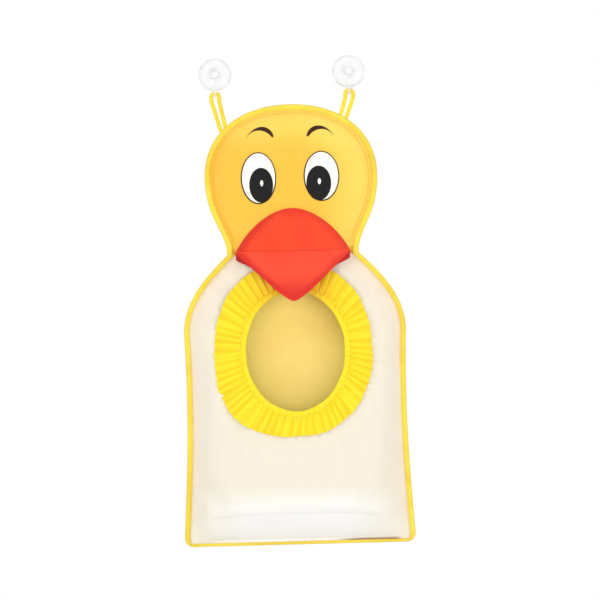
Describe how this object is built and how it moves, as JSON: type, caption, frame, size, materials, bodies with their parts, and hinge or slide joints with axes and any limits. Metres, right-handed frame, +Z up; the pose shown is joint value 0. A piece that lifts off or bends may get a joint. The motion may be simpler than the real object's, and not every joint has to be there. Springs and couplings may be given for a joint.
{
  "type": "bath toy organizer",
  "caption": "Duck-shaped mesh bag with a gathered round opening, a padded head and bill, and suction cups for a tiled wall.",
  "frame": {"origin": "on the wall plane, level with the centres of the suction cups and in line with the middle of the bag", "axes": "+X to the right seen from the front, +Y into the wall, +Z up"},
  "size_m": [0.2774, 0.0652, 0.5875],
  "materials": {
    "golden_cloth": "soft matt woven cloth",
    "lemon_cloth": "soft matt woven cloth",
    "binding_tape": "folded binding tape with a row of stitches",
    "net": "fine white mesh, see-through close up",
    "red_cloth": "soft matt woven cloth",
    "dark_red_cloth": "thin lining cloth",
    "wadding": "soft wadding",
    "elastic": "woven elastic",
    "white_film": "bonded film",
    "black_film": "bonded film",
    "brown_film": "bonded film",
    "clear_vinyl": "clear soft vinyl",
    "clear_hook": "clear hard plastic"
  },
  "bodies": {
    "hooks": {"hook_left": "clear_hook", "hook_right": "clear_hook"},
    "cup_left": {"suction_cup_left": "clear_vinyl"},
    "cup_right": {"suction_cup_right": "clear_vinyl"},
    "bag": {"back_panel": "golden_cloth", "head_binding": "binding_tape", "body_binding": "binding_tape", "face_panel": "golden_cloth", "head_foam": "wadding", "pocket_mesh": "net", "bottom_gusset": "net", "opening_casing": "lemon_cloth", "opening_elastic": "elastic", "opening_frill": "lemon_cloth", "bill_top": "red_cloth", "bill_top_foam": "wadding", "eye_white_left": "white_film", "pupil_left": "black_film", "glint_left": "white_film", "brow_left": "brown_film", "hanging_loop_left": "binding_tape", "eye_white_right": "white_film", "pupil_right": "black_film", "glint_right": "white_film", "brow_right": "brown_film", "hanging_loop_right": "binding_tape"},
    "bill": {"bill_flap": "red_cloth", "bill_flap_foam": "wadding", "bill_lining": "dark_red_cloth"}
  },
  "joints": [
    {"name": "cup_turn_left", "type": "hinge", "parent": "hooks", "child": "cup_left", "pos_m": [-0.0885, -0.0109, 0], "axis": [0, 1, 0], "continuous": true},
    {"name": "cup_turn_right", "type": "hinge", "parent": "hooks", "child": "cup_right", "pos_m": [0.0725, -0.0109, 0], "axis": [0, 1, 0], "continuous": true},
    {"name": "bag_swing", "type": "hinge", "parent": "hooks", "child": "bag", "pos_m": [0, -0.01505, -0.0234], "axis": [-1, 0, 0], "range_deg": [0, 70]},
    {"name": "bill_lift", "type": "hinge", "parent": "bag", "child": "bill", "pos_m": [0, -0.033, -0.21485], "axis": [-1, 0, 0], "range_deg": [0, 75]}
  ]
}
